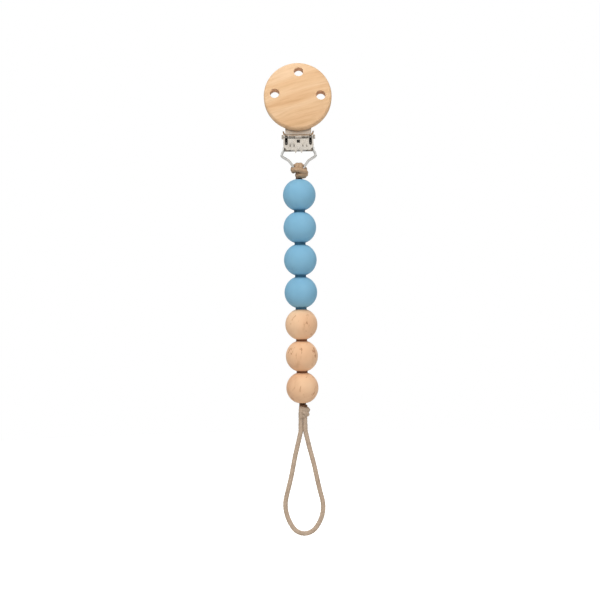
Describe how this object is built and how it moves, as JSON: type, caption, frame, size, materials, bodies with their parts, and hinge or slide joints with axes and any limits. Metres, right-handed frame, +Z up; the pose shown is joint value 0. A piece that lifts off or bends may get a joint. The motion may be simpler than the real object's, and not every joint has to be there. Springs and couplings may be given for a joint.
{
  "type": "soother holder clip",
  "caption": "Garment clip with a wooden disc lever, a swinging wire bail, a string of turning silicone and wooden beads on a knotted cord, and an end loop that holds a soother.",
  "frame": {"origin": "centre of the clip's flat back face, level with the hinge pin", "axes": "+Z up along the hanging string towards the disc, +Y out of the back face towards the garment, -Y the front, X across"},
  "size_m": [0.031, 0.0149, 0.2163],
  "materials": {
    "disc_wood": "natural pale wood, fine diagonal grain, unvarnished satin",
    "bead_wood": "natural beech with short dark flecks, matte",
    "nickel": "polished nickel plate over pressed steel and wire",
    "pad_plastic": "off-white moulded plastic, ribbed",
    "silicone": "soft matte silicone, mid blue",
    "cord": "waxed twisted cotton cord, beige brown"
  },
  "bodies": {
    "jaw": {"jaw_frame": "nickel", "jaw_pad": "pad_plastic", "hinge_pin": "nickel"},
    "lever": {"lever_plate": "nickel", "wood_disc": "disc_wood", "disc_screws": "nickel"},
    "bail": {"wire_bail": "nickel"},
    "hitch": {"top_hitch": "cord"},
    "knot_top": {"top_knot": "cord"},
    "gap_0": {"cord_gap_0": "cord"},
    "gap_1": {"cord_gap_1": "cord"},
    "gap_2": {"cord_gap_2": "cord"},
    "gap_3": {"cord_gap_3": "cord"},
    "gap_4": {"cord_gap_4": "cord"},
    "gap_5": {"cord_gap_5": "cord"},
    "gap_6": {"cord_gap_6": "cord"},
    "gap_7": {"cord_gap_7": "cord"},
    "core_1": {"cord_core_1": "cord"},
    "core_2": {"cord_core_2": "cord"},
    "core_3": {"cord_core_3": "cord"},
    "core_4": {"cord_core_4": "cord"},
    "core_5": {"cord_core_5": "cord"},
    "core_6": {"cord_core_6": "cord"},
    "core_7": {"cord_core_7": "cord"},
    "bead_1": {"silicone_bead_1": "silicone"},
    "bead_2": {"silicone_bead_2": "silicone"},
    "bead_3": {"silicone_bead_3": "silicone"},
    "bead_4": {"silicone_bead_4": "silicone"},
    "bead_5": {"wood_bead_1": "bead_wood"},
    "bead_6": {"wood_bead_2": "bead_wood"},
    "bead_7": {"wood_bead_3": "bead_wood"},
    "knot_bottom": {"bottom_knot": "cord"},
    "neck": {"loop_neck": "cord"},
    "loop": {"end_loop": "cord"}
  },
  "joints": [
    {"name": "clip_lever", "type": "hinge", "parent": "jaw", "child": "lever", "pos_m": [0, -0.00445, 0], "axis": [1, 0, 0], "range_deg": [0, 80]},
    {"name": "bail_swing", "type": "hinge", "parent": "jaw", "child": "bail", "pos_m": [0, -0.00445, -0.0045], "axis": [1, 0, 0], "range_deg": [-45, 45]},
    {"name": "hitch_roll", "type": "hinge", "parent": "bail", "child": "hitch", "pos_m": [0, -0.00445, -0.0146], "axis": [1, 0, 0], "range_deg": [-30, 30]},
    {"name": "knot_sway", "type": "hinge", "parent": "hitch", "child": "knot_top", "pos_m": [0, -0.00445, -0.0156], "axis": [0, 1, 0], "range_deg": [-15, 15]},
    {"name": "cord_bend_x_0", "type": "hinge", "parent": "knot_top", "child": "gap_0", "pos_m": [0, -0.00445, -0.01915], "axis": [1, 0, 0], "range_deg": [-11, 11]},
    {"name": "cord_bend_y_0", "type": "hinge", "parent": "gap_0", "child": "core_1", "pos_m": [0, -0.00445, -0.01915], "axis": [0, 1, 0], "range_deg": [-11, 11]},
    {"name": "cord_bend_x_1", "type": "hinge", "parent": "core_1", "child": "gap_1", "pos_m": [0, -0.00445, -0.03402], "axis": [1, 0, 0], "range_deg": [-11, 11]},
    {"name": "cord_bend_y_1", "type": "hinge", "parent": "gap_1", "child": "core_2", "pos_m": [0, -0.00445, -0.03402], "axis": [0, 1, 0], "range_deg": [-11, 11]},
    {"name": "cord_bend_x_2", "type": "hinge", "parent": "core_2", "child": "gap_2", "pos_m": [0, -0.00445, -0.04889], "axis": [1, 0, 0], "range_deg": [-11, 11]},
    {"name": "cord_bend_y_2", "type": "hinge", "parent": "gap_2", "child": "core_3", "pos_m": [0, -0.00445, -0.04889], "axis": [0, 1, 0], "range_deg": [-11, 11]},
    {"name": "cord_bend_x_3", "type": "hinge", "parent": "core_3", "child": "gap_3", "pos_m": [0, -0.00445, -0.06376], "axis": [1, 0, 0], "range_deg": [-11, 11]},
    {"name": "cord_bend_y_3", "type": "hinge", "parent": "gap_3", "child": "core_4", "pos_m": [0, -0.00445, -0.06376], "axis": [0, 1, 0], "range_deg": [-11, 11]},
    {"name": "cord_bend_x_4", "type": "hinge", "parent": "core_4", "child": "gap_4", "pos_m": [0, -0.00445, -0.07863], "axis": [1, 0, 0], "range_deg": [-11, 11]},
    {"name": "cord_bend_y_4", "type": "hinge", "parent": "gap_4", "child": "core_5", "pos_m": [0, -0.00445, -0.07863], "axis": [0, 1, 0], "range_deg": [-11, 11]},
    {"name": "cord_bend_x_5", "type": "hinge", "parent": "core_5", "child": "gap_5", "pos_m": [0, -0.00445, -0.09315], "axis": [1, 0, 0], "range_deg": [-11, 11]},
    {"name": "cord_bend_y_5", "type": "hinge", "parent": "gap_5", "child": "core_6", "pos_m": [0, -0.00445, -0.09315], "axis": [0, 1, 0], "range_deg": [-11, 11]},
    {"name": "cord_bend_x_6", "type": "hinge", "parent": "core_6", "child": "gap_6", "pos_m": [0, -0.00445, -0.10767], "axis": [1, 0, 0], "range_deg": [-11, 11]},
    {"name": "cord_bend_y_6", "type": "hinge", "parent": "gap_6", "child": "core_7", "pos_m": [0, -0.00445, -0.10767], "axis": [0, 1, 0], "range_deg": [-11, 11]},
    {"name": "cord_bend_x_7", "type": "hinge", "parent": "core_7", "child": "gap_7", "pos_m": [0, -0.00445, -0.12219], "axis": [1, 0, 0], "range_deg": [-11, 11]},
    {"name": "cord_bend_y_7", "type": "hinge", "parent": "gap_7", "child": "knot_bottom", "pos_m": [0, -0.00445, -0.12219], "axis": [0, 1, 0], "range_deg": [-11, 11]},
    {"name": "spin_bead_1", "type": "hinge", "parent": "core_1", "child": "bead_1", "pos_m": [0, -0.00445, -0.02659], "axis": [0, 0, 1], "continuous": true},
    {"name": "spin_bead_2", "type": "hinge", "parent": "core_2", "child": "bead_2", "pos_m": [0, -0.00445, -0.04145], "axis": [0, 0, 1], "continuous": true},
    {"name": "spin_bead_3", "type": "hinge", "parent": "core_3", "child": "bead_3", "pos_m": [0, -0.00445, -0.05633], "axis": [0, 0, 1], "continuous": true},
    {"name": "spin_bead_4", "type": "hinge", "parent": "core_4", "child": "bead_4", "pos_m": [0, -0.00445, -0.07119], "axis": [0, 0, 1], "continuous": true},
    {"name": "spin_bead_5", "type": "hinge", "parent": "core_5", "child": "bead_5", "pos_m": [0, -0.00445, -0.08589], "axis": [0, 0, 1], "continuous": true},
    {"name": "spin_bead_6", "type": "hinge", "parent": "core_6", "child": "bead_6", "pos_m": [0, -0.00445, -0.10041], "axis": [0, 0, 1], "continuous": true},
    {"name": "spin_bead_7", "type": "hinge", "parent": "core_7", "child": "bead_7", "pos_m": [0, -0.00445, -0.11493], "axis": [0, 0, 1], "continuous": true},
    {"name": "neck_bend", "type": "hinge", "parent": "knot_bottom", "child": "neck", "pos_m": [0, -0.00445, -0.1289], "axis": [1, 0, 0], "range_deg": [-20, 20]},
    {"name": "loop_bend", "type": "hinge", "parent": "neck", "child": "loop", "pos_m": [0, -0.00445, -0.1342], "axis": [0, 1, 0], "range_deg": [-15, 15]}
  ]
}
